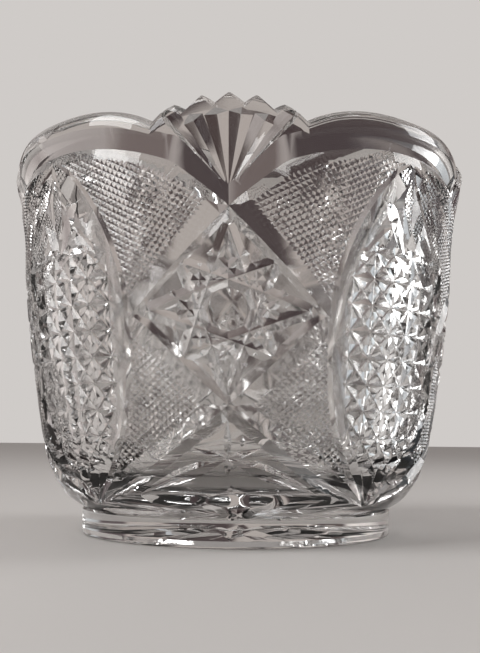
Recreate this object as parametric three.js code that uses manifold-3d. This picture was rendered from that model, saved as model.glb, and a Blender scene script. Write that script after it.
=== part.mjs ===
// Crystal candy dish: an open, four-sided-patterned, wheel-cut bowl standing on a short round foot.
// Millimetres, +Z up. The origin is the centre of the circle that the foot stands on, and the middle
// of the front fan of the rim faces -Y. Azimuth 0 is the front and grows towards +X, and heights on the
// bowl are measured from its own underside.
import * as THREE from 'three';
import { mergeVertices } from 'three/addons/utils/BufferGeometryUtils.js';
import Module from 'manifold-3d';

const wasm = await Module();
wasm.setup();

// Foot
const footRadius = 45.6;
const footHeight = 7.5;
const footEdgeRadius = 0.9;
const footLedge = 0.6; // how far the foot stands out past the bowl's underside
const standingRingWidth = 8;
const underRecess = 1.2; // the ground hollow inside the standing ring
const underStarRays = 16;
const underStarDepth = 1.3;
const underStarRadius = 34;
const underStarFlare = 4; // half width of a ray's cutter at its foot, for each millimetre of depth

// Outline of the bowl's outer wall, as radius and height pairs from the underside up
const heelRadius = 50.9;
const heelHeight = 4.5;
const shoulderRadius = 56.5;
const shoulderHeight = 15.5;
const bellyRadius = 60.8;
const bellyHeight = 38.5;
const chestRadius = 64;
const chestHeight = 63.5;
const neckRadius = 65;
const neckHeight = 79;
const rimRadius = 68.3;
const rimEdgeHeight = 98;

// Wall, floor and lip
const wallThickness = 5.5;
const floorThickness = 9;
const insideCornerRadius = 14;
const lipHeight = 4.8; // from the lip's outer edge up to its crest
const lipCrestInset = 2.3;
const lipThickness = 4.8;
const lipInnerDrop = 1.3;

// Rim line: four toothed fans with a long lobe between each two
const sides = 4;
const fanCrestHeight = 103.95;
const fanShoulderHeight = 98.9; // height that the fan's arc falls to at the notch
const lobeCrestHeight = 102.7;
const notchHeight = 97.6;
const notchAzimuth = 16.5;
const lobeFullness = 3.4;
const toothPitch = 6.6; // degrees
const toothDepth = 2.1;
const notchLobeRise = 0.45; // slopes of the notch's two sides, upwards for each millimetre across
const notchFanRise = 0.75;

// Fan of long mitres under the teeth
const fanRootHeight = 80;
const fanGrooveDepth = 1.6;
const fanGrooveHalfWidth = 3.9; // at the rim

// Broad polished mitres: the band under the rim, and the lattice that frames the star diamond
const bandHeight = 93.3; // valley of the band in the middle of a lobe
const upperCrossHeight = 76.2;
const bandFullness = 2.6;
const bandDepth = 2.1;
const bandUpperFlank = 4.6;
const bandLowerFlank = 3.6;
const diamondCornerAzimuth = 23.3;
const diamondCornerHeight = 50;
const lowerCrossHeight = 27.9;
const mitreDepth = 1.9;
const mitreOuterFlank = 4.4;
const mitreInnerFlank = 2.6;
const lowerArmAzimuth = 24;
const lowerArmHeight = 10.6;

// Pointed oval panels between the fans
const panelTopHeight = 91.9;
const panelBottomHeight = 2.4;
const panelWidestHeight = 50.5;
const panelHalfAngle = 19.3; // degrees from the middle of the panel to its border's valley
const panelTopFullness = 2;
const panelBottomFullness = 3.4;
const borderDepth = 1.8;
const borderFlank = 3.3;
const fieldInset = 2; // from a border's valley to the ends of the star lattice's mitres
const starPitch = 6.7;
const starRowHeight = 47;
const starRowsUnder = 3; // cross mitres under and over the one at that height
const starRowsOver = 2;
const starGrooveDepth = 1.1;
const starGrooveHalfWidth = 1.5;

// Eight-pointed star in each diamond
const starCentreHeight = 51;
const starLongReach = 21.5;
const starShortReach = 15.3;
const starLineDepth = 1.2;
const starLineHalfWidth = 1.3;

// Half star at the foot of each diamond lattice
const halfStarHeight = 15.2;
const halfStarDepth = 1.3;
const halfStarHalfWidth = 1.6;
const halfStarSideAzimuth = 26;
const halfStarSideHeight = 5.6;

// Grooves in general
const grooveTail = 0.04; // depth and width at a groove's pointed end, as a share of the full size
const grooveRise = 2.2; // how far a cutter's flanks run on above the wall, as a share of its depth
const grooveOvershoot = 3; // how far a groove that leaves at the rim runs on past it

// Fineness of the facets
const segmentsAround = 40;
const outerLevels = 6;
const innerLevels = 3;
const archSteps = 24;
const lowerMitreSteps = 9;
const borderSteps = 10;
const latticeSteps = 3;
const starLineSteps = 3;

const degree = Math.PI / 180;
const sideAngle = 360 / sides;
const bowlBaseRadius = footRadius - footLedge;

// Outer wall

const outline = new THREE.SplineCurve([
  new THREE.Vector2(bowlBaseRadius, 0),
  new THREE.Vector2(heelRadius, heelHeight),
  new THREE.Vector2(shoulderRadius, shoulderHeight),
  new THREE.Vector2(bellyRadius, bellyHeight),
  new THREE.Vector2(chestRadius, chestHeight),
  new THREE.Vector2(neckRadius, neckHeight),
  new THREE.Vector2(rimRadius, rimEdgeHeight),
]);

function outlineAt(height) {
  let low = 0;
  let high = 1;
  for (let i = 0; i < 30; i++) {
    const middle = (low + high) / 2;
    if (outline.getPoint(middle).y < height) low = middle;
    else high = middle;
  }
  return (low + high) / 2;
}

function outerRadius(height) {
  const flare = (rimRadius - neckRadius) / (rimEdgeHeight - neckHeight);
  if (height > rimEdgeHeight) return rimRadius + flare * (height - rimEdgeHeight);
  return outline.getPoint(outlineAt(height)).x;
}

function innerRadius(height) {
  return outerRadius(height) - wallThickness;
}

function radial(azimuth) {
  return new THREE.Vector3(Math.sin(azimuth * degree), -Math.cos(azimuth * degree), 0);
}

function wallPoint(azimuth, height) {
  const point = radial(azimuth).multiplyScalar(outerRadius(height));
  point.z = height;
  return point;
}

function wallNormal(azimuth, height) {
  const reach = 0.5;
  const slope = (outerRadius(height + reach) - outerRadius(height - reach)) / (2 * reach);
  const normal = radial(azimuth);
  normal.z = -slope;
  return normal.normalize();
}

// Degrees of azimuth that a length along the wall covers at a height
function degreesAcross(length, height) {
  return length / (outerRadius(height) * degree);
}

// Rim line

function azimuthFromFan(azimuth) {
  const turn = ((azimuth % sideAngle) + sideAngle) % sideAngle;
  return Math.min(turn, sideAngle - turn);
}

function fanArcHeight(offset) {
  return fanCrestHeight - (fanCrestHeight - fanShoulderHeight) * (offset / notchAzimuth) ** 2;
}

function rimHeight(azimuth) {
  const offset = azimuthFromFan(azimuth);
  if (offset < notchAzimuth) return fanArcHeight(offset);
  const fromLobe = (sideAngle / 2 - offset) / (sideAngle / 2 - notchAzimuth);
  return lobeCrestHeight - (lobeCrestHeight - notchHeight) * fromLobe ** lobeFullness;
}

// Solids from closed geometries

function toSolid(geometry) {
  const bare = geometry.index ? geometry.clone() : geometry;
  bare.deleteAttribute('normal');
  bare.deleteAttribute('uv');
  const merged = mergeVertices(bare, 1e-5);
  const index = merged.index.array;
  const kept = [];
  for (let i = 0; i < index.length; i += 3) {
    const [a, b, c] = index.slice(i, i + 3);
    if (a !== b && b !== c && c !== a) kept.push(a, b, c);
  }
  return new wasm.Manifold(new wasm.Mesh({
    numProp: 3,
    vertProperties: new Float32Array(merged.attributes.position.array),
    triVerts: new Uint32Array(kept),
  }));
}

function toGeometry(solid) {
  const mesh = solid.getMesh();
  const geometry = new THREE.BufferGeometry();
  geometry.setAttribute('position', new THREE.BufferAttribute(mesh.vertProperties, 3));
  geometry.setIndex(new THREE.BufferAttribute(mesh.triVerts, 1));
  geometry.computeVertexNormals();
  return geometry;
}

// A closed loft through triangles, each given as [valley, right, left] corners
function triangleLoft(sections) {
  const positions = sections.flat().flatMap((corner) => corner.toArray());
  const index = [0, 1, 2];
  for (let i = 0; i < sections.length - 1; i++) {
    for (let j = 0; j < 3; j++) {
      const here = 3 * i + j;
      const beside = 3 * i + ((j + 1) % 3);
      index.push(here, beside + 3, beside, here, here + 3, beside + 3);
    }
  }
  const last = 3 * (sections.length - 1);
  index.push(last, last + 2, last + 1);
  const geometry = new THREE.BufferGeometry();
  geometry.setAttribute('position', new THREE.Float32BufferAttribute(positions, 3));
  geometry.setIndex(index);
  return geometry;
}

// A V groove's cutter along a route on the outer wall. The route gives azimuth and height for t from
// 0 to 1, and the shape gives the widths of its left and right flanks and its depth there.
function grooveCutter(route, shape, steps) {
  const nearby = 0.01;
  const sections = [];
  for (let i = 0; i <= steps; i++) {
    const t = i / steps;
    const [azimuth, height] = route(t);
    const before = wallPoint(...route(Math.max(0, t - nearby)));
    const after = wallPoint(...route(Math.min(1, t + nearby)));
    const { left, right, depth } = shape(t);
    const point = wallPoint(azimuth, height);
    const normal = wallNormal(azimuth, height);
    const side = normal.clone().cross(after.sub(before)).normalize();
    const top = point.clone().addScaledVector(normal, depth * grooveRise);
    sections.push([
      point.clone().addScaledVector(normal, -depth),
      top.clone().addScaledVector(side, -right * (1 + grooveRise)),
      top.clone().addScaledVector(side, left * (1 + grooveRise)),
    ]);
  }
  return toSolid(triangleLoft(sections));
}

// A groove whose depth and width swell from its ends to full size in the middle
function taperedShape(left, right, depth, startLength, endLength) {
  return (t) => {
    const swell = Math.max(grooveTail, Math.min(1, t / startLength, (1 - t) / endLength));
    return { left: left * swell, right: right * swell, depth: depth * swell };
  };
}

function straightRoute([azimuth0, height0], [azimuth1, height1]) {
  return (t) => [
    THREE.MathUtils.lerp(azimuth0, azimuth1, t),
    THREE.MathUtils.lerp(height0, height1, t),
  ];
}

// Cuts at the rim

function toothNotch(azimuth, height, leftRise, rightRise) {
  const reach = 2 * lipThickness; // inside and outside of the lip's crest
  const span = 2 * lipThickness; // to each side, where the rim has long ended
  const outlineOfNotch = new THREE.Shape([
    new THREE.Vector2(0, 0),
    new THREE.Vector2(span, span * rightRise),
    new THREE.Vector2(-span, span * leftRise),
  ]);
  const geometry = new THREE.ExtrudeGeometry(outlineOfNotch, { depth: 2 * reach, bevelEnabled: false });
  geometry.rotateX(Math.PI / 2);
  geometry.translate(0, reach - rimRadius, height);
  geometry.rotateZ(azimuth * degree);
  return toSolid(geometry);
}

function fanNotches(centre) {
  const rise = toothDepth / (0.5 * toothPitch * degree * rimRadius);
  const cutters = [];
  for (const tooth of [-1.5, -0.5, 0.5, 1.5]) {
    const offset = tooth * toothPitch;
    cutters.push(toothNotch(centre + offset, fanArcHeight(offset) - toothDepth, rise, rise));
  }
  cutters.push(toothNotch(centre - notchAzimuth, notchHeight, notchLobeRise, notchFanRise));
  cutters.push(toothNotch(centre + notchAzimuth, notchHeight, notchFanRise, notchLobeRise));
  return cutters;
}

function fanGrooves(centre) {
  const shape = (t) => {
    const swell = Math.max(t, grooveTail);
    const flank = fanGrooveHalfWidth * swell;
    return { left: flank, right: flank, depth: fanGrooveDepth * swell };
  };
  return [-2.4, -1.5, -0.5, 0.5, 1.5, 2.4].map((tooth) => {
    const offset = tooth * toothPitch;
    const top = [centre + offset, fanArcHeight(offset) + grooveOvershoot];
    return grooveCutter(straightRoute([centre, fanRootHeight], top), shape, 1);
  });
}

// Broad mitres

// From the left corner of one side's diamond up through its cross, over the lobe as the band under the
// rim, and down through the next cross to the right corner of the next side's diamond
function archMitre(centre) {
  const start = centre - diamondCornerAzimuth;
  const length = sideAngle + 2 * diamondCornerAzimuth;
  const height = (offset) => {
    if (offset < 0) {
      return THREE.MathUtils.lerp(upperCrossHeight, diamondCornerHeight, -offset / diamondCornerAzimuth);
    }
    const fromLobe = 1 - offset / (sideAngle / 2);
    return bandHeight - (bandHeight - upperCrossHeight) * fromLobe ** bandFullness;
  };
  const fromCross = (t) => {
    const offset = t * length - diamondCornerAzimuth;
    return Math.min(offset, sideAngle - offset);
  };
  const route = (t) => [start + t * length, height(fromCross(t))];
  const shape = (t) => {
    const offset = fromCross(t);
    const overLobe = THREE.MathUtils.smoothstep(offset, 0, sideAngle / 4);
    const swell = THREE.MathUtils.smoothstep(offset / diamondCornerAzimuth, -1.15, -0.7);
    return {
      left: THREE.MathUtils.lerp(mitreOuterFlank, bandUpperFlank, overLobe) * swell,
      right: THREE.MathUtils.lerp(mitreInnerFlank, bandLowerFlank, overLobe) * swell,
      depth: THREE.MathUtils.lerp(mitreDepth, bandDepth, overLobe) * swell,
    };
  };
  return grooveCutter(route, shape, archSteps);
}

// From each corner of the diamond down through the lower cross and on to the foot of the far panel
function lowerMitres(centre) {
  return [-1, 1].map((hand) => {
    const line = new THREE.SplineCurve([
      new THREE.Vector2(centre - hand * diamondCornerAzimuth, diamondCornerHeight),
      new THREE.Vector2(centre, lowerCrossHeight),
      new THREE.Vector2(centre + hand * lowerArmAzimuth, lowerArmHeight),
      new THREE.Vector2(centre + hand * sideAngle / 2, panelBottomHeight),
    ]);
    const cross = 1 / 3; // t at the second of the line's four points
    const blend = 0.05;
    const startLength = 0.1;
    const endLength = 0.3;
    const shape = (t) => {
      const past = THREE.MathUtils.smoothstep(t, cross - blend, cross + blend);
      const swell = Math.max(grooveTail, Math.min(1, t / startLength, (1 - t) / endLength));
      const above = THREE.MathUtils.lerp(mitreInnerFlank, mitreOuterFlank, past) * swell;
      const below = THREE.MathUtils.lerp(mitreOuterFlank, mitreInnerFlank, past) * swell;
      const depth = mitreDepth * swell;
      return hand > 0 ? { left: above, right: below, depth } : { left: below, right: above, depth };
    };
    return grooveCutter((t) => line.getPoint(t).toArray(), shape, lowerMitreSteps);
  });
}

// Pointed oval panels

function panelOffset(height) {
  if (height > panelWidestHeight) {
    const up = (height - panelWidestHeight) / (panelTopHeight - panelWidestHeight);
    return panelHalfAngle * (1 - Math.min(1, up) ** panelTopFullness);
  }
  const down = (panelWidestHeight - height) / (panelWidestHeight - panelBottomHeight);
  return panelHalfAngle * (1 - Math.min(1, down) ** panelBottomFullness);
}

function panelBorders(middle) {
  return [-1, 1].map((hand) => {
    const route = (t) => {
      const height = THREE.MathUtils.lerp(panelTopHeight, panelBottomHeight, t);
      return [middle + hand * panelOffset(height), height];
    };
    const shape = taperedShape(borderFlank, borderFlank, borderDepth, 0.05, 0.1);
    return grooveCutter(route, shape, borderSteps);
  });
}

// Half width of the field inside the borders, in degrees, at a height
function fieldOffset(height) {
  return panelOffset(height) - degreesAcross(fieldInset, height);
}

// The upright and the cross mitres of the panel's star lattice, each as long as the field is there
function panelLattice(middle) {
  const columnAngle = degreesAcross(starPitch, panelWidestHeight);
  const routes = [-1.5, -0.5, 0.5, 1.5].map((column) => {
    const azimuth = middle + column * columnAngle;
    const inside = heightsWithin(fieldOffset, Math.abs(column * columnAngle));
    return straightRoute([azimuth, inside.low], [azimuth, inside.high]);
  });
  for (let row = -starRowsUnder; row <= starRowsOver; row++) {
    const height = starRowHeight + row * starPitch;
    const offset = fieldOffset(height);
    routes.push(straightRoute([middle - offset, height], [middle + offset, height]));
  }
  const shape = taperedShape(starGrooveHalfWidth, starGrooveHalfWidth, starGrooveDepth, 0.1, 0.1);
  return routes.map((route) => grooveCutter(route, shape, latticeSteps));
}

// The lowest and highest height at which a panel outline is still wider than an offset
function heightsWithin(outlineOffset, offset) {
  const step = 0.25;
  let low = panelWidestHeight;
  let high = panelWidestHeight;
  while (outlineOffset(low - step) > offset) low -= step;
  while (outlineOffset(high + step) > offset) high += step;
  return { low, high };
}

// Stars

function diamondStar(centre) {
  const corner = (k) => {
    const angle = (k * 45 + 90) * degree;
    const reach = k % 2 ? starShortReach : starLongReach;
    const height = starCentreHeight + reach * Math.sin(angle);
    return [centre + degreesAcross(reach * Math.cos(angle), starCentreHeight), height];
  };
  const shape = () => ({ left: starLineHalfWidth, right: starLineHalfWidth, depth: starLineDepth });
  return [0, 1, 2, 3, 4, 5, 6, 7].map((k) => {
    return grooveCutter(straightRoute(corner(k), corner(k + 3)), shape, starLineSteps);
  });
}

function halfStar(centre) {
  const root = [centre, halfStarHeight];
  const upReach = lowerCrossHeight - halfStarHeight - mitreInnerFlank;
  const tips = [
    [centre, halfStarHeight + upReach],
    [centre - halfStarSideAzimuth / 3, halfStarHeight + upReach / 3],
    [centre + halfStarSideAzimuth / 3, halfStarHeight + upReach / 3],
    [centre - halfStarSideAzimuth, halfStarSideHeight],
    [centre + halfStarSideAzimuth, halfStarSideHeight],
  ];
  const shape = taperedShape(halfStarHalfWidth, halfStarHalfWidth, halfStarDepth, 0.3, 0.6);
  return tips.map((tip) => grooveCutter(straightRoute(root, tip), shape, starLineSteps));
}

// Bowl before cutting: one wall section for each azimuth, trimmed at the rim line

function wallSection(crest) {
  const points = [new THREE.Vector2(0, 0)];
  const edge = crest - lipHeight;
  const edgeRadius = outerRadius(edge);
  const crowding = 1.3; // brings the levels closer together at the heel, where the wall curves most
  for (let i = 0; i <= outerLevels; i++) {
    const height = edge * (i / outerLevels) ** crowding;
    points.push(new THREE.Vector2(outerRadius(height), height));
  }
  for (const angle of [35, 65, 90]) {
    points.push(new THREE.Vector2(
      edgeRadius - lipCrestInset * (1 - Math.cos(angle * degree)),
      edge + lipHeight * Math.sin(angle * degree),
    ));
  }
  const innerEdge = crest - lipInnerDrop;
  points.push(new THREE.Vector2(edgeRadius - lipThickness, innerEdge));
  const cornerTop = floorThickness + insideCornerRadius;
  for (let i = 1; i <= innerLevels; i++) {
    const height = THREE.MathUtils.lerp(innerEdge, cornerTop, i / innerLevels);
    points.push(new THREE.Vector2(innerRadius(height), height));
  }
  const cornerCentre = innerRadius(cornerTop) - insideCornerRadius;
  for (const angle of [30, 60, 90]) {
    points.push(new THREE.Vector2(
      cornerCentre + insideCornerRadius * Math.cos(angle * degree),
      cornerTop - insideCornerRadius * Math.sin(angle * degree),
    ));
  }
  points.push(new THREE.Vector2(0, floorThickness));
  return points;
}

function bowlBlank() {
  const geometry = new THREE.LatheGeometry(wallSection(lobeCrestHeight), segmentsAround);
  geometry.rotateX(Math.PI / 2);
  const position = geometry.attributes.position;
  const pointsPerSection = position.count / (segmentsAround + 1);
  for (let i = 0; i <= segmentsAround; i++) {
    const azimuth = (i % segmentsAround) * 360 / segmentsAround;
    const section = wallSection(rimHeight(azimuth));
    const outward = radial(azimuth);
    section.forEach((point, j) => {
      position.setXYZ(i * pointsPerSection + j, outward.x * point.x, outward.y * point.x, point.y);
    });
  }
  return toSolid(geometry);
}

function makeBowl() {
  const cutters = [];
  for (let side = 0; side < sides; side++) {
    const centre = side * sideAngle;
    const middle = centre + sideAngle / 2;
    cutters.push(...fanNotches(centre), ...fanGrooves(centre));
    cutters.push(archMitre(centre), ...lowerMitres(centre));
    cutters.push(...panelBorders(middle), ...panelLattice(middle));
    cutters.push(...diamondStar(centre), ...halfStar(centre));
  }
  return cutters.reduce((bowl, cutter) => bowl.subtract(cutter), bowlBlank());
}

// Foot: a solid disc, ground hollow inside its standing ring and cut with a star

function footBlank() {
  const recessRadius = footRadius - standingRingWidth;
  const profile = [
    new THREE.Vector2(0, underRecess),
    new THREE.Vector2(recessRadius - underRecess, underRecess),
    new THREE.Vector2(recessRadius, 0),
    new THREE.Vector2(footRadius - footEdgeRadius, 0),
    new THREE.Vector2(footRadius, footEdgeRadius),
    new THREE.Vector2(footRadius, footHeight - footEdgeRadius / 2),
    new THREE.Vector2(footRadius - footEdgeRadius / 2, footHeight),
    new THREE.Vector2(0, footHeight),
  ];
  const geometry = new THREE.LatheGeometry(profile, segmentsAround);
  geometry.rotateX(Math.PI / 2);
  return toSolid(geometry);
}

// A ray of the star, narrow at the centre, full a third of the way out and pointed at its end
function underStarCutter(angle) {
  const along = radial(angle);
  const side = radial(angle + 90);
  const fullAt = underStarRadius / 3;
  const sections = [[0, 0.3], [fullAt, 1], [underStarRadius, grooveTail]].map(([reach, swell]) => {
    const depth = underStarDepth * swell;
    const base = along.clone().multiplyScalar(reach);
    const below = base.clone().setZ(underRecess - depth);
    return [
      base.clone().setZ(underRecess + depth),
      below.clone().addScaledVector(side, underStarFlare * depth),
      below.clone().addScaledVector(side, -underStarFlare * depth),
    ];
  });
  return toSolid(triangleLoft(sections));
}

function makeFoot() {
  let foot = footBlank();
  for (let ray = 0; ray < underStarRays; ray++) {
    foot = foot.subtract(underStarCutter(ray * 360 / underStarRays));
  }
  return foot;
}

// Assembly

function crystal() {
  return new THREE.MeshStandardMaterial({
    color: 0xe9eef0,
    roughness: 0.04,
    metalness: 0,
    transparent: true,
    opacity: 0.35,
  });
}

const dish = new THREE.Group();

const foot = new THREE.Mesh(toGeometry(makeFoot()), crystal());
foot.name = 'foot';
dish.add(foot);

const bowl = new THREE.Mesh(toGeometry(makeBowl()), crystal());
bowl.name = 'bowl';
bowl.position.z = footHeight;
dish.add(bowl);

export default dish;
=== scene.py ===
"""A wheel-cut crystal candy dish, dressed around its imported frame.

The dish is one body of clear lead crystal. Its blank is turned from a wall section, its rim is drawn
into fans and lobes, and every cut of the pattern is a V-shaped mitre taken out of the wall. Sizes are in
millimetres and are turned to metres when a mesh is finished. Azimuth 0 is the middle of the front fan,
which faces -Y, and grows towards +X. Heights are measured from the bowl's underside, where it meets the
foot.
"""

from __future__ import annotations

import logging
import math
from bisect import bisect_right
from dataclasses import dataclass
from enum import IntEnum
from functools import cached_property
from typing import Callable, Iterable, Sequence

import bmesh
import bpy
from bmesh.types import BMesh, BMFace
from bpy.types import ColorRamp, ID, Material, Mesh, Node, NodeSocket, NodeTree, Object
from mathutils import Matrix, Vector
from mathutils.bvhtree import BVHTree
from mathutils.interpolate import poly_3d_calc

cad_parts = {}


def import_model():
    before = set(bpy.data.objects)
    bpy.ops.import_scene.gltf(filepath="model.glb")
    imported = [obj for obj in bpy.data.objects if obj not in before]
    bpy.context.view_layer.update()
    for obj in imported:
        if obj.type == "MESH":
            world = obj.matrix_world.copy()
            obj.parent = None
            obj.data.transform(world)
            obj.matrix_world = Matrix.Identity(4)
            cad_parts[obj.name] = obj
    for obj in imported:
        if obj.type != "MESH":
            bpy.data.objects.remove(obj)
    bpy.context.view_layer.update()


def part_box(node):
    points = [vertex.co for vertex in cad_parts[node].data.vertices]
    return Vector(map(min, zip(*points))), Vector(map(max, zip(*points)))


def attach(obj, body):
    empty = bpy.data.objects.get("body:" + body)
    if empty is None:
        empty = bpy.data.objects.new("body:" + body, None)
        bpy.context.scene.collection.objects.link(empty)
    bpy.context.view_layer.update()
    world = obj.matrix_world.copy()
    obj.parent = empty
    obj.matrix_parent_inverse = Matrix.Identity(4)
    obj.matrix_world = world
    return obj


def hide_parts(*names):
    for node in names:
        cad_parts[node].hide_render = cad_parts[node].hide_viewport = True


LOG = logging.getLogger("candy_dish")
METRES_PER_MM = 0.001
SIDES = 4
SIDE_ANGLE = 360.0 / SIDES
PANEL_AZIMUTH = SIDE_ANGLE / 2
# Several sockets of a Mix node share one name, so those for colours go by number.
MIX_FIRST, MIX_SECOND, MIX_RESULT = 6, 7, 2

Pair = tuple[float, float]
Triple = tuple[float, float, float]
Colour = tuple[float, float, float, float]
Cards = tuple[tuple[float, str], ...]
Sockets = dict[str | int, object]
Route = Callable[[float], Pair]
Section = Callable[[float], Triple]
Field = Callable[[float, float], bool]


class Finish(IntEnum):
    """Material slots of the dish, by how the surface was made."""

    FIRE_POLISHED = 0
    WHEEL_CUT = 1
    GROUND = 2
    INSIDE = 3


def lerp(start: float, end: float, share: float) -> float:
    """Returns the value that lies at a share of the way from start to end."""
    return start + (end - start) * share


def from_table(table: Sequence[tuple[float, ...]], value: float) -> tuple[float, ...]:
    """Reads a table whose rows start with a rising value, on straight lines between the rows.

    Args:
        table: Rows of a value and what holds there.
        value: The value to look up.

    Returns:
        What holds at the value, without the value itself.
    """
    if value <= table[0][0]:
        return table[0][1:]
    for low, high in zip(table, table[1:]):
        if value <= high[0]:
            share = (value - low[0]) / (high[0] - low[0])
            return tuple(lerp(start, end, share) for start, end in zip(low[1:], high[1:]))
    return table[-1][1:]


def evenly(steps: int) -> list[float]:
    """Returns the ends of a number of equal stretches from 0 to 1."""
    return [step / steps for step in range(steps + 1)]


def smooth_step(value: float, low: float, high: float) -> float:
    """Returns 0 below low, 1 above high, and an even S-curve between them."""
    share = min(1.0, max(0.0, (value - low) / (high - low)))
    return share * share * (3.0 - 2.0 * share)


def radial(azimuth: float) -> Vector:
    """Returns the level unit vector that points outwards at an azimuth in degrees."""
    angle = math.radians(azimuth)
    return Vector((math.sin(angle), -math.cos(angle), 0.0))


def along_curve(knots: Sequence[Pair], t: float) -> Pair:
    """Returns a place on the smooth curve through some knots.

    Args:
        knots: Points that the curve runs through.
        t: How far along it the place lies, from 0 to 1.
    """
    pieces = len(knots) - 1
    piece = min(int(t * pieces), pieces - 1)
    share = t * pieces - piece
    before, start, end, after = (knots[min(max(piece + step, 0), pieces)] for step in (-1, 0, 1, 2))
    place = []
    for axis in range(2):
        leave = (end[axis] - before[axis]) / 2
        arrive = (after[axis] - start[axis]) / 2
        rise = end[axis] - start[axis]
        square = 3 * rise - 2 * leave - arrive
        cubic = leave + arrive - 2 * rise
        place.append(start[axis] + share * (leave + share * (square + share * cubic)))
    return place[0], place[1]


def arc(centre: Pair, across: float, up: float, angles: Iterable[float]) -> list[Pair]:
    """Returns places on an ellipse.

    Args:
        centre: Its centre.
        across: Half its width.
        up: Half its height.
        angles: Angle of each place, in degrees.
    """
    turns = [math.radians(angle) for angle in angles]
    return [(centre[0] + across * math.cos(turn), centre[1] + up * math.sin(turn)) for turn in turns]


def link_object(name: str, data: ID) -> Object:
    """Returns a new object, linked to the scene.

    Args:
        name: Name of the object.
        data: What it holds.
    """
    item = bpy.data.objects.new(name, data)
    bpy.context.scene.collection.objects.link(item)
    return item


def link_body(name: str, body: BMesh, materials: Iterable[Material | None]) -> Object:
    """Returns a new object that holds a body, linked to the scene, and frees the body.

    Args:
        name: Name of the object and of its mesh.
        body: The body.
        materials: Its materials, with None for a slot that stays empty.
    """
    mesh = bpy.data.meshes.new(name)
    body.to_mesh(mesh)
    body.free()
    for material in materials:
        mesh.materials.append(material)
    return link_object(name, mesh)


@dataclass(frozen=True)
class Wall:
    """The bowl's outer wall: a curve turned about the axis, and the places on it.

    Args:
        foot_height: Height of the bowl's underside above the table.
        knots: Radius and height pairs that the outline runs through, from the underside to the rim.
        thickness: Thickness of the wall, measured level.
    """

    foot_height: float
    knots: tuple[Pair, ...] = (
        (45.0, 0.0),
        (50.9, 4.5),
        (56.5, 15.5),
        (60.8, 38.5),
        (64.0, 63.5),
        (65.0, 79.0),
        (68.3, 98.0),
    )
    thickness: float = 5.5

    @cached_property
    def _table(self) -> tuple[list[float], list[float]]:
        """Returns heights and radii along the outline, close enough together to draw lines between."""
        per_piece = 64
        steps = (len(self.knots) - 1) * per_piece
        places = [along_curve(self.knots, step / steps) for step in range(steps + 1)]
        radii = [radius for radius, _ in places]
        heights = [height for _, height in places]
        return heights, radii

    def radius(self, height: float) -> float:
        """Returns the outer radius, which flares on past the rim's edge.

        Args:
            height: Height above the bowl's underside.
        """
        heights, radii = self._table
        place = min(max(bisect_right(heights, height) - 1, 0), len(heights) - 2)
        if height > heights[-1]:
            (neck, low), (rim, high) = self.knots[-2:]
            return rim + (rim - neck) / (high - low) * (height - high)
        share = (height - heights[place]) / (heights[place + 1] - heights[place])
        return lerp(radii[place], radii[place + 1], share)

    def degrees(self, length: float, height: float) -> float:
        """Returns the azimuth that a level length along the wall covers at a height."""
        return math.degrees(length / self.radius(height))

    def point(self, azimuth: float, height: float) -> Vector:
        """Returns the place on the outer wall, in millimetres above the table."""
        return radial(azimuth) * self.radius(height) + Vector((0, 0, height + self.foot_height))

    def normal(self, azimuth: float, height: float) -> Vector:
        """Returns the outward unit normal of the wall.

        Args:
            azimuth: Azimuth of the place, in degrees.
            height: Height of the place.
        """
        reach = 0.75
        slope = (self.radius(height + reach) - self.radius(height - reach)) / (2 * reach)
        outward = radial(azimuth)
        outward.z = -slope
        return outward.normalized()


@dataclass(frozen=True)
class RimLine:
    """The crest of the rim: four toothed fans with a long lobe between each two."""

    fan_crest: float = 103.7
    fan_shoulder: float = 98.9
    lobe_crest: float = 102.7
    notch_height: float = 97.6
    notch_azimuth: float = 16.5
    lobe_fullness: float = 3.4
    tooth_pitch: float = 6.6
    tooth_depth: float = 3.4
    lobe_rise: float = 0.45
    fan_rise: float = 0.75

    def fan_arc(self, offset: float) -> float:
        """Returns the height of the arc that the teeth reach, at an angle from the fan's middle."""
        return self.fan_crest - (self.fan_crest - self.fan_shoulder) * (offset / self.notch_azimuth) ** 2

    def height(self, azimuth: float) -> float:
        """Returns the crest's height before the teeth are cut.

        Args:
            azimuth: Azimuth in degrees.
        """
        turn = azimuth % SIDE_ANGLE
        offset = min(turn, SIDE_ANGLE - turn)
        if offset < self.notch_azimuth:
            return self.fan_arc(offset)
        from_lobe = (PANEL_AZIMUTH - offset) / (PANEL_AZIMUTH - self.notch_azimuth)
        return self.lobe_crest - (self.lobe_crest - self.notch_height) * from_lobe**self.lobe_fullness


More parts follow.
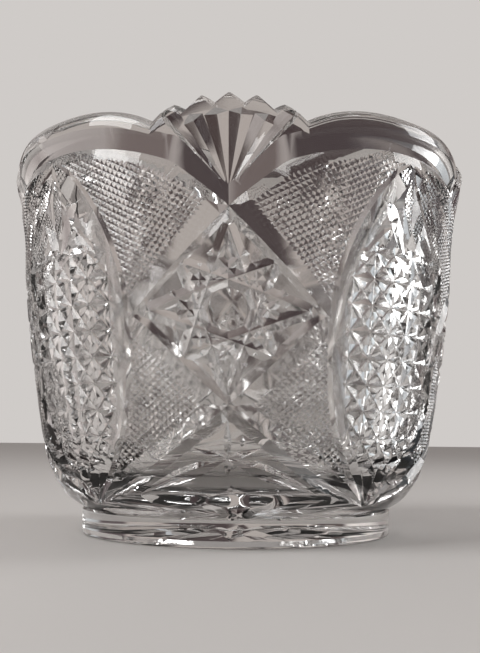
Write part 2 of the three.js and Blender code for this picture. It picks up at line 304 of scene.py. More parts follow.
class CutterBench:
    """Makes the pattern's cutters and keeps them in layers.

    The members of one layer never overlap inside the glass, where that would leave shards. A groove's
    cutter stands out of the wall by RISE times its depth, so that no skin of glass is left over the cut.
    """

    RISE = 1.6

    def __init__(self, wall: Wall) -> None:
        """Starts with no layers.

        Args:
            wall: The wall that the grooves follow.
        """
        self.wall = wall
        self.layers: dict[str, BMesh] = {}
        self._carrier = bpy.data.meshes.new("cutter_carrier")

    def _corners(self, route: Route, section: Section, t: float) -> list[Vector]:
        """Returns the valley, right and left corners of a groove's cutter.

        Args:
            route: The groove's route.
            section: Its section.
            t: How far along the route, from 0 to 1.
        """
        nearby = 0.01
        before = self.wall.point(*route(max(0.0, t - nearby)))
        after = self.wall.point(*route(min(1.0, t + nearby)))
        left, right, depth = section(t)
        place = self.wall.point(*route(t))
        normal = self.wall.normal(*route(t))
        side = normal.cross(after - before).normalized()
        top = place + normal * (depth * self.RISE)
        spread = 1 + self.RISE
        return [place - normal * depth, top - side * (right * spread), top + side * (left * spread)]

    def groove(self, layer: str, route: Route, section: Section, stops: Sequence[float]) -> None:
        """Adds a V groove's cutter by drawing a triangle along its route.

        Args:
            layer: Name of the layer that takes it.
            route: Azimuth and height for t from 0 to 1.
            section: Widths of the left and right flanks, and the depth, for t from 0 to 1.
            stops: Values of t, from 0 to 1, at which the cutter has a section.
        """
        self.loft(layer, [self._corners(route, section, stop) for stop in stops])

    def ball(self, layer: str, middle: Vector, radius: float) -> None:
        """Adds a ball, which leaves a dished cut.

        Args:
            layer: Name of the layer that takes it.
            middle: Centre of the ball.
            radius: Radius of the ball.
        """
        cutter = bmesh.new()
        place = Matrix.Translation(middle)
        bmesh.ops.create_icosphere(cutter, subdivisions=5, radius=radius, matrix=place, calc_uvs=False)
        self._keep(layer, cutter)

    def _keep(self, layer: str, cutter: BMesh) -> None:
        """Puts a finished cutter into its layer and frees it.

        Args:
            layer: Name of the layer.
            cutter: The cutter.
        """
        for face in cutter.faces:
            face.material_index = Finish.WHEEL_CUT
        cutter.to_mesh(self._carrier)
        cutter.free()
        if layer not in self.layers:
            self.layers[layer] = bmesh.new()
        self.layers[layer].from_mesh(self._carrier)

    def loft(self, layer: str, sections: Sequence[Sequence[Vector]]) -> None:
        """Adds a closed body that runs through a row of sections with as many corners each.

        Args:
            layer: Name of the layer that takes it.
            sections: Corners of each section, in the same order.
        """
        cutter = bmesh.new()
        face = cutter.faces.new([cutter.verts.new(corner) for corner in sections[0]])
        for number, section in enumerate(sections[1:]):
            made = bmesh.ops.extrude_face_region(cutter, geom=[face])["geom"]
            if number > 0:
                bmesh.ops.delete(cutter, geom=[face], context="FACES_ONLY")
            face = next(item for item in made if isinstance(item, BMFace))
            for vert, corner in zip(face.verts, section):
                vert.co = corner
        bmesh.ops.triangulate(cutter, faces=cutter.faces)
        bmesh.ops.recalc_face_normals(cutter, faces=cutter.faces)
        self._keep(layer, cutter)

    def repeat_round(self) -> None:
        """Copies every layer to the other sides of the dish."""
        for layer in self.layers.values():
            bmesh.ops.spin(
                layer,
                geom=layer.verts[:] + layer.edges[:] + layer.faces[:],
                axis=(0, 0, 1),
                angle=math.radians(SIDE_ANGLE * (SIDES - 1)),
                steps=SIDES - 1,
                use_merge=False,
                use_duplicate=True,
            )

    def cutters(self) -> list[Object]:
        """Returns one linked object for each layer, in the order in which they were started."""
        slots = [None] * len(Finish)
        made = [link_body(f"cutter_{name}", layer, slots) for name, layer in self.layers.items()]
        self.layers.clear()
        return made


def straight(start: Pair, end: Pair) -> Route:
    """Returns a route that runs straight from start to end on the unrolled wall."""
    return lambda t: (lerp(start[0], end[0], t), lerp(start[1], end[1], t))


@dataclass(frozen=True)
class Mitre:
    """The section of a mitre: flank widths and depth, with the shares of its length that taper off."""

    left: float
    right: float
    depth: float
    start_taper: float = 0.0
    end_taper: float = 0.0
    tail: float = 0.04

    def __call__(self, t: float) -> Triple:
        """Returns the left flank, right flank and depth.

        Args:
            t: How far along the groove, from 0 to 1.
        """
        swell = 1.0
        if self.start_taper:
            swell = min(swell, t / self.start_taper)
        if self.end_taper:
            swell = min(swell, (1 - t) / self.end_taper)
        swell = max(swell, self.tail)
        return self.left * swell, self.right * swell, self.depth * swell


@dataclass
class Fans:
    """Toothed fans of the rim, each with its long mitres that meet at a root."""

    rim: RimLine
    root: float = 80.0
    depth: float = 2.4
    half_width: float = 4.05
    outer_azimuth: float = 16.5
    outer_flanks: Pair = (4.3, 1.4)
    outer_depth: float = 2.5
    overshoot: float = 3.0
    lip: float = 4.2
    end_taper: float = 0.09
    tail: float = 0.02
    notch_reach: float = 10.0
    tooth_fall: float = 0.6
    tooth_crest: float = 1.2
    dips: tuple[float, ...] = (-1.5, -0.5, 0.5, 1.5)

    def cut(self, bench: CutterBench) -> None:
        """Adds the teeth and the fan's mitres.

        Args:
            bench: The bench that takes the cutters.
        """
        self._teeth(bench)
        rise = self.rim.fan_crest - self.root
        spread = (rise - self.lip) / rise
        inner = Mitre(self.half_width, self.half_width, self.depth, 1 / spread, self.end_taper, self.tail)
        stops = (0.0, 0.5, 1 - self.end_taper * spread, 1.0)
        root = (0.0, self.root)
        for number, dip in enumerate(self.dips):
            offset = dip * self.rim.tooth_pitch
            top = (offset * spread, self.rim.fan_arc(offset) - self.lip)
            bench.groove(f"fan{number}", straight(root, top), inner, stops)
        for hand in (-1, 1):
            outer = Mitre(*self.outer_flanks[::hand], self.outer_depth, start_taper=1.0, tail=self.tail)
            top = (hand * self.outer_azimuth, self.rim.fan_arc(self.outer_azimuth) + self.overshoot)
            bench.groove(f"fan_side{hand}", straight(root, top), outer, evenly(3))

    def _teeth(self, bench: CutterBench) -> None:
        """Adds the V notches between the teeth and the wider notches at the ends of the fan.

        Args:
            bench: The bench that takes the cutters.
        """
        rim = self.rim
        slope = rim.tooth_depth / (math.radians(rim.tooth_pitch / 2) * bench.wall.knots[-1][0])
        for number, dip in enumerate(self.dips):
            offset = dip * rim.tooth_pitch
            place = (offset, rim.fan_arc(offset) - rim.tooth_depth)
            self._notch(bench, f"teeth{number % 2}", place, (slope, slope), self.tooth_fall)
        for hand in (-1, 1):
            slopes = (rim.lobe_rise, rim.fan_rise)[::-hand]
            self._notch(bench, "ends", (hand * rim.notch_azimuth, rim.notch_height), slopes)

    def _notch(
        self,
        bench: CutterBench,
        layer: str,
        place: Pair,
        slopes: Pair,
        fall: float = 0.0,
    ) -> None:
        """Adds a V notch that runs through the rim, level or falling outwards.

        Args:
            bench: The bench that takes the cutter.
            layer: Name of its layer.
            place: Azimuth of the notch, and the height of its valley near the rim's outer edge.
            slopes: Slopes of its sides towards lower and higher azimuths.
            fall: How steeply the valley falls outwards.
        """
        azimuth, height = place
        span = self.notch_reach
        along = radial(azimuth + 90) * span
        middle = bench.wall.knots[-1][0]
        sections = []
        for reach in (middle - span, middle + span):
            base = radial(azimuth) * reach
            base.z = height + bench.wall.foot_height - fall * (reach - middle + self.tooth_crest)
            lower, higher = (Vector((0, 0, span * slope)) for slope in slopes)
            sections.append([base, base + along + higher, base - along + lower])
        bench.loft(layer, sections)


@dataclass
class Mitres:
    """Broad polished mitres: the band under the rim and the lattice that frames each diamond.

    The widths are listed by the angle past an upper cross, below 0 on the diamond: the flank on the outer
    or upper side, the flank on the inner or lower side, and the depth. An arch has its sections at the
    angles of the climb, round the kink and over the crown. The flanks of a lower mitre change sides round
    the share of its length at which it crosses the other.
    """

    band_height: float = 93.3
    upper_cross: float = 76.4
    kink_azimuth: float = 12.5
    kink_height: float = 87.2
    kink_length: float = 1.8
    fullness: float = 2.3
    corner_azimuth: float = 23.3
    corner_height: float = 50.5
    lower_cross: float = 27.9
    depth: float = 1.9
    outer: float = 4.4
    inner: float = 2.6
    widths: tuple[tuple[float, ...], ...] = (
        (-26.0, 0.2, 0.15, 0.1),
        (-23.3, 2.4, 1.5, 1.2),
        (-20.0, 3.6, 2.2, 1.8),
        (-12.0, 4.4, 2.5, 1.9),
        (-2.0, 5.4, 2.8, 1.9),
        (1.0, 3.8, 3.2, 1.7),
        (5.0, 4.4, 3.5, 1.65),
        (10.0, 5.5, 3.8, 1.6),
        (13.4, 6.2, 3.8, 1.6),
        (20.0, 5.6, 3.4, 1.5),
        (35.0, 5.1, 3.0, 1.5),
        (45.0, 4.8, 2.8, 1.5),
    )
    climb: tuple[float, ...] = (-26.0, -23.3, -20, -17, -14, -11, -8, -5, -2, 1, 4, 7, 10)
    crown_start: float = 16.0
    crown_step: float = 2.5
    crown_stops: int = 12
    arm: Pair = (24.0, 10.6)
    arm_end: float = 2.4
    lower_steps: int = 28
    lower_tapers: Pair = (0.06, 0.3)
    lower_tail: float = 0.03
    cross_share: float = 1 / 3
    cross_swap: float = 0.05

    def band(self, offset: float) -> float:
        """Returns the height of an arch's valley.

        Args:
            offset: Angle from the fan's middle, below 0 on the diamond.
        """
        if offset < 0:
            return lerp(self.upper_cross, self.corner_height, -offset / self.corner_azimuth)
        if offset < self.kink_azimuth:
            return lerp(self.upper_cross, self.kink_height, offset / self.kink_azimuth)
        from_lobe = abs(PANEL_AZIMUTH - offset) / (PANEL_AZIMUTH - self.kink_azimuth)
        return self.band_height - (self.band_height - self.kink_height) * from_lobe**self.fullness

    def lower_line(self, t: float) -> Pair:
        """Returns a place on the mitre from the left corner through the lower cross to a panel's foot.

        Args:
            t: How far along the mitre, from 0 to 1.
        """
        knots = (
            (-self.corner_azimuth, self.corner_height),
            (0.0, self.lower_cross),
            self.arm,
            (PANEL_AZIMUTH, self.arm_end),
        )
        return along_curve(knots, t)

    def arch_stops(self) -> list[float]:
        """Returns the angles past the first cross at which an arch has a section."""
        half = self.kink_length / 2
        crown = [self.crown_start + self.crown_step * number for number in range(self.crown_stops)]
        climb = [*self.climb, self.kink_azimuth - half, self.kink_azimuth + half, *crown]
        return climb + [SIDE_ANGLE - stop for stop in reversed(climb)]

    def cut(self, bench: CutterBench) -> None:
        """Adds the arches, which run from one diamond's corner over a lobe to the next diamond's.

        Args:
            bench: The bench that takes the cutters, after it has been repeated round the dish.
        """
        places = self.arch_stops()
        low, high = places[0], places[-1]
        stops = [(place - low) / (high - low) for place in places]

        def from_cross(t: float) -> float:
            """Returns the angle past the nearer cross, below 0 on the diamond."""
            offset = lerp(low, high, t)
            return min(offset, SIDE_ANGLE - offset)

        def section(t: float) -> tuple[float, ...]:
            """Returns the arch's flanks and depth."""
            return from_table(self.widths, from_cross(t))

        for side in range(SIDES):

            def route(t: float, side: int = side) -> Pair:
                """Returns a place on the arch of one side."""
                return lerp(low, high, t) + side * SIDE_ANGLE, self.band(from_cross(t))

            bench.groove(f"arch{side % 2}", route, section, stops)

    def cut_lower(self, bench: CutterBench) -> None:
        """Adds the mitres that cross under each diamond.

        Args:
            bench: The bench that takes the cutters.
        """
        taper = Mitre(1.0, 1.0, self.depth, *self.lower_tapers, self.lower_tail)
        before, after = self.cross_share - self.cross_swap, self.cross_share + self.cross_swap
        for hand in (-1, 1):

            def route(t: float, hand: int = hand) -> Pair:
                """Returns a place on the mitre of one hand."""
                azimuth, height = self.lower_line(t)
                return hand * azimuth, height

            def section(t: float, hand: int = hand) -> Triple:
                """Returns its flanks and depth."""
                past = smooth_step(t, before, after)
                swell, _, depth = taper(t)
                above = lerp(self.inner, self.outer, past) * swell
                below = lerp(self.outer, self.inner, past) * swell
                return (*(above, below)[::hand], depth)

            bench.groove(f"lower{hand}", route, section, evenly(self.lower_steps))


@dataclass
class Panels:
    """Pointed oval panels between the fans, with bevelled borders and a lattice of eight-rayed stars."""

    top: float = 91.9
    bottom: float = 2.4
    widest: float = 50.5
    half_angle: float = 19.3
    top_fullness: float = 2.0
    bottom_fullness: float = 3.4
    border_depth: float = 1.8
    border_flank: float = 2.9
    inner_flank: float = 4.0
    border_tapers: Pair = (0.05, 0.08)
    border_steps: int = 44
    pitch: float = 6.7
    row_height: float = 47.0
    lattice_top: float = 68.5
    lattice_bottom: float = 12.0
    line_depth: float = 1.0
    line_half_width: float = 1.2
    inset: float = 3.0
    kite_depth: float = 1.4
    kite_half_width: float = 1.8
    kite_taper: float = 0.25

    def offset(self, height: float) -> float:
        """Returns the angle from the panel's middle to its border's valley.

        Args:
            height: Height of the place.
        """
        end, fullness = self.bottom, self.bottom_fullness
        if height > self.widest:
            end, fullness = self.top, self.top_fullness
        share = min(1.0, (height - self.widest) / (end - self.widest))
        return self.half_angle * (1 - share**fullness)

    def cut(self, bench: CutterBench) -> None:
        """Adds the borders, the lattice and the kites.

        Args:
            bench: The bench that takes the cutters.
        """
        for hand in (-1, 1):
            flanks = (self.border_flank, self.inner_flank)[::hand]
            section = Mitre(*flanks, self.border_depth, *self.border_tapers)

            def border(t: float, hand: int = hand) -> Pair:
                """Returns a place on one border's valley, from the panel's top down."""
                height = lerp(self.top, self.bottom, t)
                return PANEL_AZIMUTH + hand * self.offset(height), height

            bench.groove(f"border{hand}", border, section, evenly(self.border_steps))
        self._lattice(bench)
        self._kites(bench)

    def _lattice(self, bench: CutterBench) -> None:
        """Adds the upright, level and slanting lines of the stars.

        Args:
            bench: The bench that takes the cutters.
        """
        diagonal = self.pitch / math.sqrt(2)
        families = (
            ("upright", 90.0, self.pitch, self.pitch / 2),
            ("level", 0.0, self.pitch, 0.0),
            ("rising", 45.0, diagonal, diagonal / 2),
            ("falling", -45.0, diagonal, diagonal / 2),
        )

        def within(azimuth: float, height: float) -> bool:
            """Tells whether a place lies in the lattice's field."""
            if not self.lattice_bottom < height < self.lattice_top:
                return False
            edge = self.offset(height) - bench.wall.degrees(self.inset, height)
            return abs(azimuth - PANEL_AZIMUTH) < edge

        section = Mitre(self.line_half_width, self.line_half_width, self.line_depth)
        for name, angle, pitch, start in families:
            rule = RuledField(PANEL_AZIMUTH, self.row_height, angle, pitch, start, within)
            rule.cut(bench, [f"lattice_{name}"], section, overrun=0.6)

    def _kites(self, bench: CutterBench) -> None:
        """Adds the long lines that close the lattice towards the panel's two points.

        Args:
            bench: The bench that takes the cutters.
        """
        tapers = (self.kite_taper, self.kite_taper)
        section = Mitre(self.kite_half_width, self.kite_half_width, self.kite_depth, *tapers)
        # Angle from the panel's middle and height, for both ends of a line.
        upright = (((0.0, 87.5), (0.0, 66.0)), ((0.0, 3.5), (0.0, 15.0)))
        widest = ((4.4, 74.5), (13.6, 65.0))
        slanting = (((7.4, 82.0), (-0.3, 66.0)), ((0.6, 3.5), (8.0, 14.5)))
        lines = [("kite_middle", 1, *ends) for ends in upright]
        for hand in (-1, 1):
            lines.append(("kite_middle", hand, *widest))
            lines += [(f"kite{hand}", hand, *ends) for ends in slanting]
        for layer, hand, *ends in lines:
            start, end = ((PANEL_AZIMUTH + hand * offset, height) for offset, height in ends)
            bench.groove(layer, straight(start, end), section, evenly(4))


@dataclass
class RuledField:
    """A family of parallel lines that fills a field of the wall.

    Args:
        azimuth: Azimuth of the point that the ruling is measured from.
        height: Height of that point.
        angle: Direction of the lines, in degrees above the level.
        pitch: Distance between two lines.
        start: Distance of one line from the point.
        within: Tells whether a place lies in the field.
    """

    azimuth: float
    height: float
    angle: float
    pitch: float
    start: float
    within: Field
    reach: float = 60.0
    sample: float = 0.3
    shortest: float = 1.2
    stretch: float = 6.0

    def stretches(self, wall: Wall, line: float) -> Iterable[Pair]:
        """Yields where a line enters and leaves the field, as distances along it.

        Args:
            wall: The wall that carries the field.
            line: Distance of the line from the ruling's origin.
        """
        entered = None
        steps = int(2 * self.reach / self.sample)
        for step in range(steps + 1):
            along = -self.reach + step * self.sample
            inside = self.within(*self.place(wall, along, line))
            if inside and entered is None:
                entered = along
            elif not inside and entered is not None:
                yield entered, along
                entered = None

    def place(self, wall: Wall, along: float, line: float) -> Pair:
        """Returns azimuth and height of a point on a line.

        Args:
            wall: The wall that carries the field.
            along: Distance of the point along the line.
            line: Distance of the line from the ruling's origin.
        """
        angle = math.radians(self.angle)
        across = along * math.cos(angle) - line * math.sin(angle)
        up = along * math.sin(angle) + line * math.cos(angle)
        return self.azimuth + wall.degrees(across, self.height), self.height + up

    def cut(self, bench: CutterBench, layers: Sequence[str], section: Section, overrun: float) -> None:
        """Adds the lines.

        Args:
            bench: The bench that takes the cutters.
            layers: Names of the layers that take one line each in turn.
            section: The lines' section.
            overrun: How far a line runs on past the field's edge.
        """
        lines = int(self.reach / self.pitch)
        for number in range(-lines, lines + 1):
            line = self.start + number * self.pitch
            layer = layers[number % len(layers)]
            for low, high in self.stretches(bench.wall, line):
                if high - low < self.shortest:
                    continue
                start = self.place(bench.wall, low - overrun, line)
                end = self.place(bench.wall, high + overrun, line)
                steps = max(1, round((high - low + 2 * overrun) / self.stretch))
                bench.groove(layer, straight(start, end), section, evenly(steps))


@dataclass
class Crosshatch:
    """Fine crosshatched fields between the mitres and the panels.

    Angles and slopes are in degrees. Each field is ruled from its origin, an azimuth and a height.
    """

    mitres: Mitres
    panels: Panels
    upper_angles: Pair = (27.0, -52.0)
    upper_origin: Pair = (18.0, 74.0)
    lower_angles: Pair = (38.0, -40.0)
    lower_origin: Pair = (17.0, 30.0)
    diamond_slope: float = 45.0
    ceiling_slope: float = 42.0
    floor_slope: float = 35.0
    degree_width: float = 1.12
    line_samples: int = 60
    pitch: float = 1.4
    depth: float = 0.44
    fullness: float = 1.04
    margin: float = 0.3

    def _clear(self, flank: float, slope: float) -> float:
        """Returns how far a field keeps from the valley of a mitre, upwards or downwards.

        Args:
            flank: Width of the mitre's flank on the field's side.
            slope: The mitre's slope.
        """
        return (flank - self.margin) / math.cos(math.radians(slope))

    def _side(self, wall: Wall, height: float) -> float:
        """Returns the azimuth at which a field ends beside the panel, on the right.

        Args:
            wall: The wall that carries the field.
            height: Height of the place.
        """
        border = wall.degrees(self.panels.border_flank - self.margin, height)
        return PANEL_AZIMUTH - self.panels.offset(height) - border

    def upper(self, wall: Wall) -> Field:
        """Returns the test for the field between the band, the diamond and the panel, on the right.

        Args:
            wall: The wall that carries the field.
        """
        band, widths = self.mitres.band, self.mitres.widths
        half_degree = 0.5

        def within(azimuth: float, height: float) -> bool:
            """Tells whether a place lies in the field."""
            if not 0 < azimuth < PANEL_AZIMUTH or height > self.mitres.band_height:
                return False
            rise = (band(azimuth + half_degree) - band(azimuth - half_degree)) / self.degree_width
            flank = from_table(widths, azimuth)[1]
            ceiling = band(azimuth) - (flank - self.margin) * math.hypot(1, rise)
            floor = band(-azimuth) + self._clear(from_table(widths, -azimuth)[0], self.diamond_slope)
            return floor < height < ceiling and azimuth < self._side(wall, height)

        return within

    def lower(self, wall: Wall) -> Field:
        """Returns the test for the field under the diamond's corner, on the right.

        Args:
            wall: The wall that carries the field.
        """
        mitres = self.mitres
        line = [mitres.lower_line(t) for t in evenly(self.line_samples)]

        def within(azimuth: float, height: float) -> bool:
            """Tells whether a place lies in the field."""
            if not 0 < azimuth < PANEL_AZIMUTH or height > mitres.corner_height:
                return False
            ceiling = from_table(line, -azimuth)[0] - self._clear(mitres.outer, self.ceiling_slope)
            floor = from_table(line, azimuth)[0] + self._clear(mitres.outer, self.floor_slope)
            return floor < height < ceiling and azimuth < self._side(wall, height)

        return within

    def cut(self, bench: CutterBench) -> None:
        """Adds both fields, on the left and on the right.

        Args:
            bench: The bench that takes the cutters.
        """
        half = self.pitch / 2 * self.fullness
        section = Mitre(half, half, self.depth)
        fields = (
            (self.upper(bench.wall), self.upper_angles, self.upper_origin),
            (self.lower(bench.wall), self.lower_angles, self.lower_origin),
        )
        for within, angles, (azimuth, height) in fields:
            for hand in (-1, 1):

                def mirrored(turn: float, level: float, hand: int = hand, within: Field = within) -> bool:
                    """Tells whether a place lies in the field of one hand."""
                    return within(hand * turn, level)

                for number, angle in enumerate(angles):
                    rule = RuledField(hand * azimuth, height, hand * angle, self.pitch, 0.0, mirrored)
                    rule.cut(bench, [f"hatch{number}0", f"hatch{number}1"], section, overrun=0.5)


@dataclass
class DiamondStar:
    """The eight-pointed star with a dished button at its heart, in each diamond."""

    centre: float = 51.0
    long_reach: float = 20.5
    short_reach: float = 15.8
    depth: float = 1.35
    half_width: float = 1.75
    ring_distance: float = 7.0
    upright_half_length: float = 11.0
    slanting_half_length: float = 13.0
    ring_depth: float = 1.0
    ring_half_width: float = 1.25
    button_depth: float = 0.7
    button_curve: float = 22.0
    points: int = 8
    skipped: int = 3

    def cut(self, bench: CutterBench) -> None:
        """Adds the star's lines, the ring round its middle and its button.

        Args:
            bench: The bench that takes the cutters.
        """
        scale = bench.wall.degrees(1.0, self.centre)
        step = 360.0 / self.points
        layers = self.points // 2

        def place(reach: float, angle: float, aside: float = 0.0) -> Pair:
            """Returns the place at a distance from the star's centre in a direction, and aside of it."""
            turn = math.radians(angle)
            across = reach * math.cos(turn) - aside * math.sin(turn)
            return across * scale, self.centre + (reach * math.sin(turn) + aside * math.cos(turn))

        lines = Mitre(self.half_width, self.half_width, self.depth)
        ring = Mitre(self.ring_half_width, self.ring_half_width, self.ring_depth)
        for number in range(self.points):
            ends = []
            for point in (number, number + self.skipped):
                reach = self.short_reach if point % 2 else self.long_reach
                ends.append(place(reach, step * point + 90.0))
            bench.groove(f"star{number % layers}", straight(*ends), lines, evenly(7))
            half = self.slanting_half_length if number % 2 else self.upright_half_length
            ends = [place(self.ring_distance, step * number, end * half) for end in (-1, 1)]
            bench.groove(f"ring{number % layers}", straight(*ends), ring, evenly(6))
        normal = bench.wall.normal(0.0, self.centre)
        middle = bench.wall.point(0.0, self.centre) + normal * (self.button_curve - self.button_depth)
        bench.ball("button", middle, self.button_curve)


@dataclass
class HalfStar:
    """Rays that spread from a point below each diamond, by azimuth and height, half width and depth."""

    height: float = 15.2
    rays: tuple[tuple[Pair, float, float], ...] = (
        ((0.0, 25.4), 1.0, 1.3),
        ((-8.6, 17.9), 0.9, 1.0),
        ((8.6, 17.9), 0.9, 1.0),
        ((-26.0, 6.0), 2.1, 1.4),
        ((26.0, 6.0), 2.1, 1.4),
        ((0.0, 10.2), 0.9, 0.9),
    )
    tapers: Pair = (0.3, 0.55)

    def cut(self, bench: CutterBench) -> None:
        """Adds the rays.

        Args:
            bench: The bench that takes the cutters.
        """
        for number, (tip, half_width, depth) in enumerate(self.rays):
            section = Mitre(half_width, half_width, depth, *self.tapers)
            bench.groove(f"ray{number}", straight((0.0, self.height), tip), section, evenly(8))


@dataclass
class UnderStar:
    """The star that is cut into the hollow under the foot.

    The swells are shares of a ray's depth at its start, at a third of its reach and at its end.
    """

    recess: float
    rays: int = 16
    start: float = 1.7
    reach: float = 34.0
    depth: float = 1.3
    flare: float = 4.0
    swells: Triple = (0.3, 1.0, 0.04)

    def cut(self, bench: CutterBench) -> None:
        """Adds the rays of one side of the dish.

        They start far enough from the middle that the four rays of one layer stay apart.

        Args:
            bench: The bench that takes the cutters.
        """
        for number in range(self.rays // SIDES):
            angle = number * 360.0 / self.rays
            sections = []
            for reach, swell in zip((self.start, self.reach / 3, self.reach), self.swells):
                depth = self.depth * swell
                side = radial(angle + 90) * (self.flare * depth)
                base = radial(angle) * reach
                below, top = (base + Vector((0, 0, self.recess + rise)) for rise in (-depth, depth))
                sections.append([top, below + side, below - side])
            bench.loft(f"under{number}", sections)


@dataclass
class Blank:
    """The turned body of the dish before it is cut: foot, wall, lip and inside.

    Args:
        wall: The bowl's outer wall.
        rim: The rim's crest.
        foot_radius: Radius of the foot.
    """

    wall: Wall
    rim: RimLine
    foot_radius: float
    foot_edge: float = 0.9
    ring_width: float = 8.0
    recess: float = 1.2
    floor_thickness: float = 9.0
    corner_radius: float = 14.0
    lip_height: float = 4.8
    lip_inset: float = 2.3
    lip_thickness: float = 4.8
    lip_drop: float = 1.3
    levels: int = 40
    level_power: float = 1.25
    inner_levels: int = 18
    segments: int = 192
    shaping_start: float = 60.0
    merge: float = 1e-4

    def profile(self) -> list[Pair]:
        """Returns radius and height pairs round the section, from the axis below to the axis above."""
        foot, edge, recess = self.wall.foot_height, self.foot_edge, self.recess
        ring = self.foot_radius - self.ring_width
        points = [(0.0, recess), (ring / 2, recess), (ring - recess, recess), (ring, 0.0)]
        points.append((self.foot_radius - edge, 0.0))
        points += arc((self.foot_radius - edge, edge), edge, edge, (-60, -30, 0))
        points += [(self.foot_radius, foot - edge / 2), (self.foot_radius - edge / 2, foot)]
        lip_edge = self.rim.lobe_crest - self.lip_height
        for level in evenly(self.levels):
            height = lip_edge * level**self.level_power
            points.append((self.wall.radius(height), height + foot))
        crest = self.wall.radius(lip_edge) - self.lip_inset
        outer_angles = (24, 38, 50, 61, 71, 81, 90)
        points += arc((crest, lip_edge + foot), self.lip_inset, self.lip_height, outer_angles)
        inner_edge = self.rim.lobe_crest - self.lip_drop
        inner_angles = (78, 66, 54, 40, 22)
        inset = self.lip_thickness - self.lip_inset
        points += arc((crest, inner_edge + foot), -inset, self.lip_drop, inner_angles)
        corner_top = self.floor_thickness + self.corner_radius
        for level in evenly(self.inner_levels):
            height = lerp(inner_edge, corner_top, level)
            points.append((self.inner_radius(height), height + foot))
        centre = self.inner_radius(corner_top) - self.corner_radius
        corner_angles = range(10, 91, 10)
        points += arc((centre, corner_top + foot), self.corner_radius, -self.corner_radius, corner_angles)
        points += [(radius, self.floor_thickness + foot) for radius in (centre / 2, 0.0)]
        return points

    def inner_radius(self, height: float) -> float:
        """Returns the inside radius, narrowed a little under the lip.

        Args:
            height: Height above the bowl's underside.
        """
        lip_edge = self.rim.lobe_crest - self.lip_height
        if height > lip_edge:
            return self.wall.radius(lip_edge) - self.lip_thickness
        return self.wall.radius(height) - self.wall.thickness

    def build(self) -> BMesh:
        """Returns the blank as a closed mesh, in millimetres."""
        body = bmesh.new()
        chain = [body.verts.new((0.0, -radius, height)) for radius, height in self.profile()]
        edges = [body.edges.new(pair) for pair in zip(chain, chain[1:])]
        bmesh.ops.spin(
            body,
            geom=chain + edges,
            axis=(0, 0, 1),
            angle=2 * math.pi,
            steps=self.segments,
            use_merge=True,
            use_duplicate=False,
        )
        bmesh.ops.remove_doubles(body, verts=body.verts, dist=self.merge)
        self._shape_rim(body)
        bmesh.ops.recalc_face_normals(body, faces=body.faces)
        faces_down, faces_in = -0.9, -0.3
        for face in body.faces:
            face.smooth = True
            middle = face.calc_center_median()
            outward = face.normal.dot(Vector((middle.x, middle.y, 0.0)).normalized())
            if middle.z < self.recess / 2 and face.normal.z < faces_down:
                face.material_index = Finish.GROUND
            elif outward < faces_in and middle.z > self.wall.foot_height:
                face.material_index = Finish.INSIDE
        return body

    def _shape_rim(self, body: BMesh) -> None:
        """Draws the level rim up and down to its crest line, with the wall's flare kept.

        Args:
            body: The turned body.
        """
        foot = self.wall.foot_height
        lip_edge = self.rim.lobe_crest - self.lip_height
        for vert in body.verts:
            height = vert.co.z - foot
            radius = vert.co.xy.length
            if height <= self.shaping_start or radius < self.foot_radius:
                continue
            azimuth = math.degrees(math.atan2(vert.co.x, -vert.co.y))
            share = min(1.0, (height - self.shaping_start) / (lip_edge - self.shaping_start))
            moved = height + share * (self.rim.height(azimuth) - self.rim.lobe_crest)
            before = self.wall.radius(min(height, lip_edge))
            after = self.wall.radius(min(height, lip_edge) + moved - height)
            scale = (radius + after - before) / radius
            vert.co = (vert.co.x * scale, vert.co.y * scale, moved + foot)


class Dish:
    """The whole dish as one body of glass."""

    def __init__(self, foot_height: float, foot_radius: float) -> None:
        """Takes the sizes that come from the frame, in millimetres.

        Args:
            foot_height: Height of the foot.
            foot_radius: Radius of the foot.
        """
        self.wall = Wall(foot_height)
        self.rim = RimLine()
        self.blank = Blank(self.wall, self.rim, foot_radius)
        self.mitres = Mitres()
        self.panels = Panels()

    def cutters(self) -> list[Object]:
        """Returns every cutter of the pattern, one for each layer."""
        bench = CutterBench(self.wall)
        Fans(self.rim).cut(bench)
        self.mitres.cut_lower(bench)
        self.panels.cut(bench)
        Crosshatch(self.mitres, self.panels).cut(bench)
        for cutting in (DiamondStar(), HalfStar(), UnderStar(self.blank.recess)):
            cutting.cut(bench)
        bench.repeat_round()
        self.mitres.cut(bench)
        return bench.cutters()

    def build(self) -> Object:
        """Returns the finished dish, cut, smoothed and in metres."""
        blank = link_body("dish_blank", self.blank.build(), [None] * len(Finish))
        cutters = self.cutters()
        for cutter in cutters:
            cut = blank.modifiers.new(cutter.name, "BOOLEAN")
            cut.solver = "MANIFOLD"
            cut.operation = "DIFFERENCE"
            cut.object = cutter
            cut.material_mode = "INDEX"
        shown = blank.evaluated_get(bpy.context.evaluated_depsgraph_get())
        glass = bpy.data.meshes.new_from_object(shown)
        smooth_glass(glass, blank.data)
        glass.transform(Matrix.Scale(METRES_PER_MM, 4))
        for scrap in (*cutters, blank):
            bpy.data.objects.remove(scrap)
        glass.name = "dish_glass"
        return link_object("dish_glass", glass)


